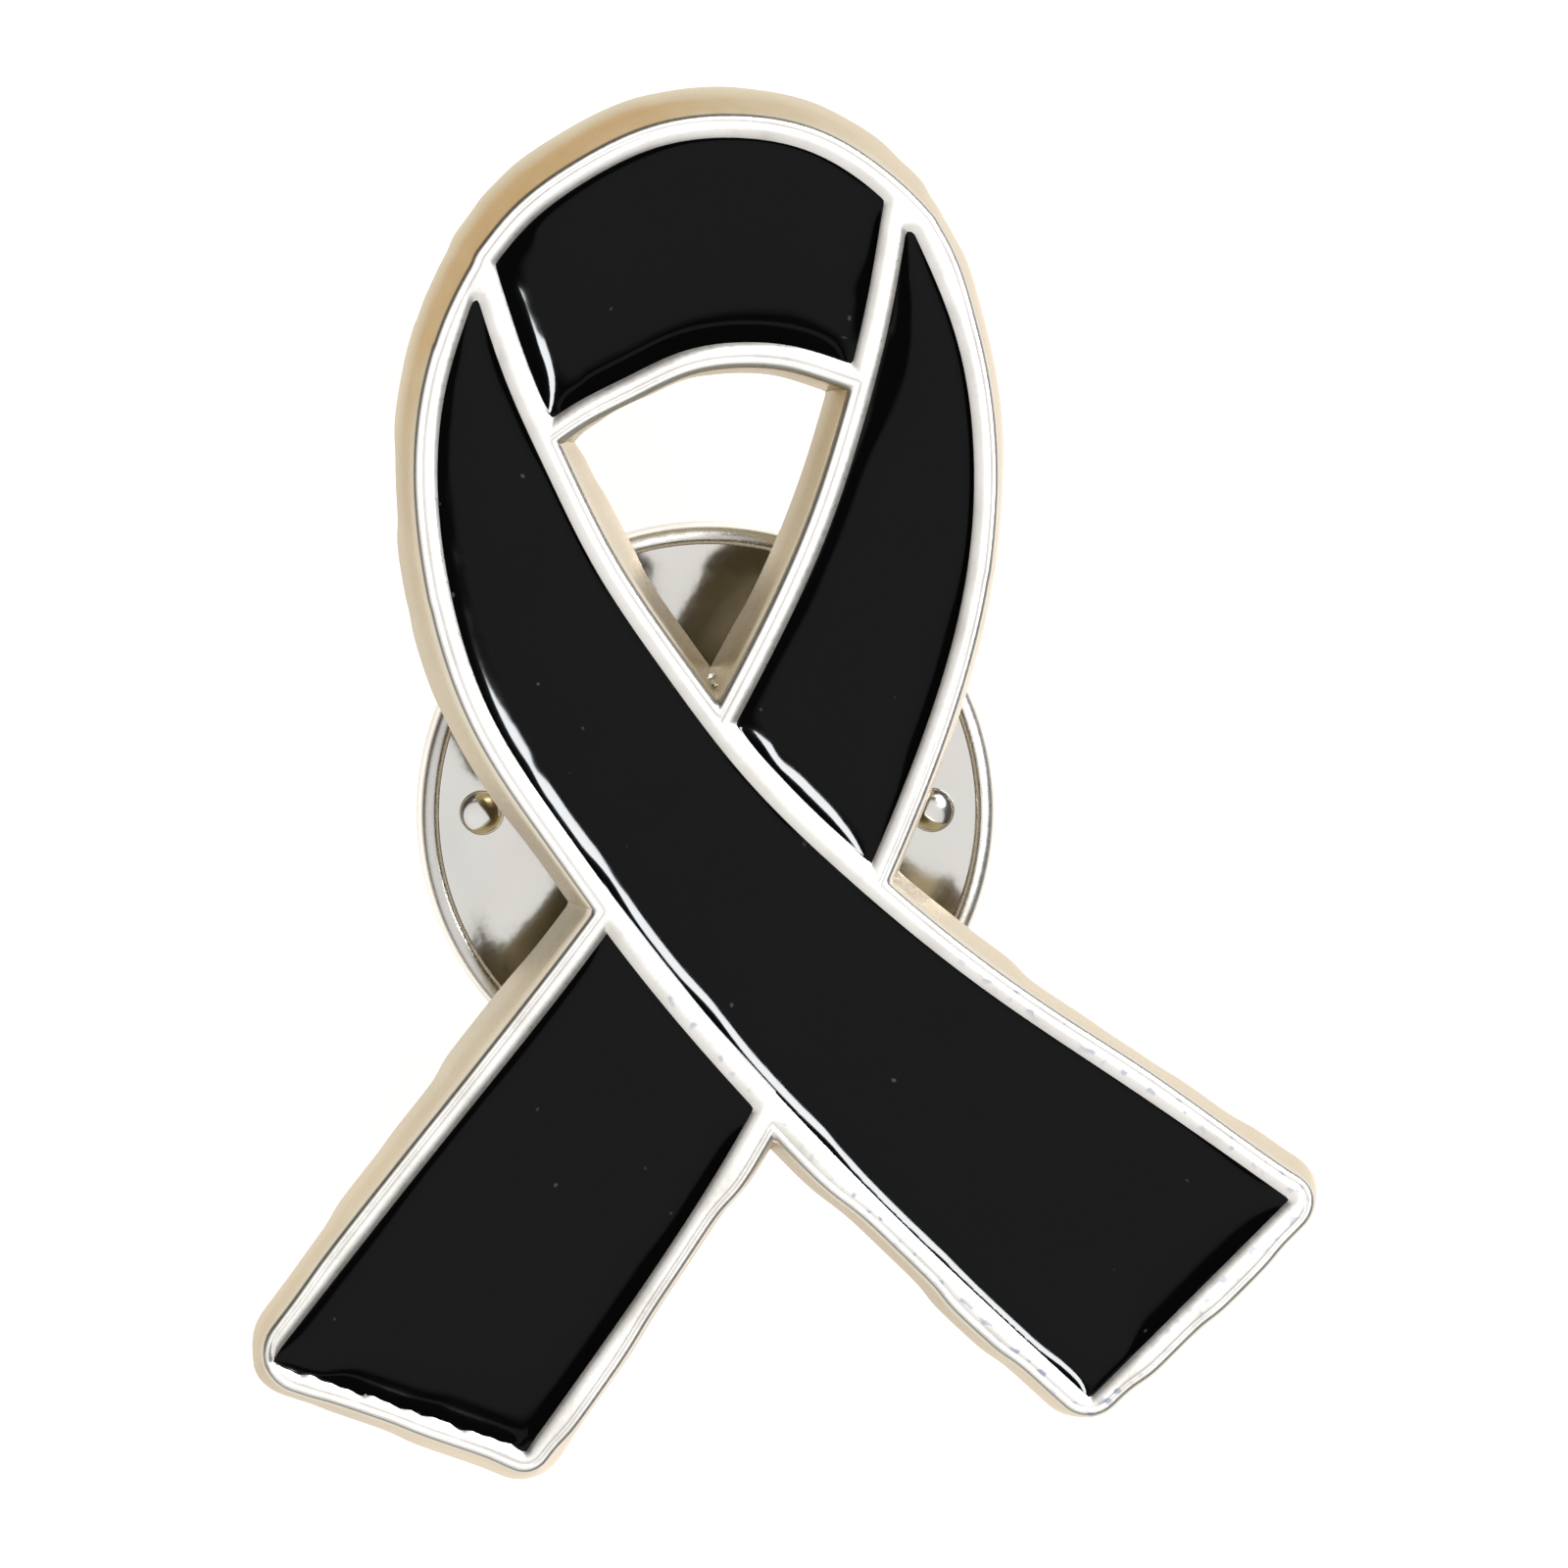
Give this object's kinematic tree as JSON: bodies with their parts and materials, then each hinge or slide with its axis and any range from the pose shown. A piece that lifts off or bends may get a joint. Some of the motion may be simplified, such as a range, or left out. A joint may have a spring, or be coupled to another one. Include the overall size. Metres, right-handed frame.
{
  "type": "awareness ribbon pin",
  "caption": "Looped ribbon lapel pin in plated metal, with black enamel between raised rims and a squeeze clutch on the pointed post behind it.",
  "frame": {"origin": "the post's axis in the plane of the ribbon's back", "axes": "+Z out of the ribbon's face, +Y up towards the loop, +X to the right seen from the face"},
  "size_m": [0.0214, 0.0275, 0.0112],
  "materials": {
    "ribbon_metal": "polished nickel plate, slightly warm, with fine casting specks",
    "black_enamel": "glossy black enamel, level with a small rise against the rims",
    "clutch_metal": "bright nickel-plated sheet"
  },
  "bodies": {
    "ribbon": {"ribbon_frame": "ribbon_metal", "enamel_top": "black_enamel", "enamel_right": "black_enamel", "enamel_over": "black_enamel", "enamel_tail": "black_enamel"},
    "clutch": {"clutch_shell": "clutch_metal", "clutch_plate": "clutch_metal"},
    "wing_left": {"wing_left": "clutch_metal"},
    "wing_right": {"wing_right": "clutch_metal"}
  },
  "joints": [
    {"name": "clutch_slide", "type": "slide", "parent": "ribbon", "child": "clutch", "axis": [0, 0, -1], "range_m": [-0.0005, 0.0045]},
    {"name": "wing_left_squeeze", "type": "hinge", "parent": "clutch", "child": "wing_left", "pos_m": [-0.00262, 0, -0.00505], "axis": [0, -1, 0], "range_deg": [0, 10], "stiffness_Nm_per_rad": 0.02},
    {"name": "wing_right_squeeze", "type": "hinge", "parent": "clutch", "child": "wing_right", "pos_m": [0.00262, 0, -0.00505], "axis": [0, 1, 0], "range_deg": [0, 10], "stiffness_Nm_per_rad": 0.02}
  ]
}
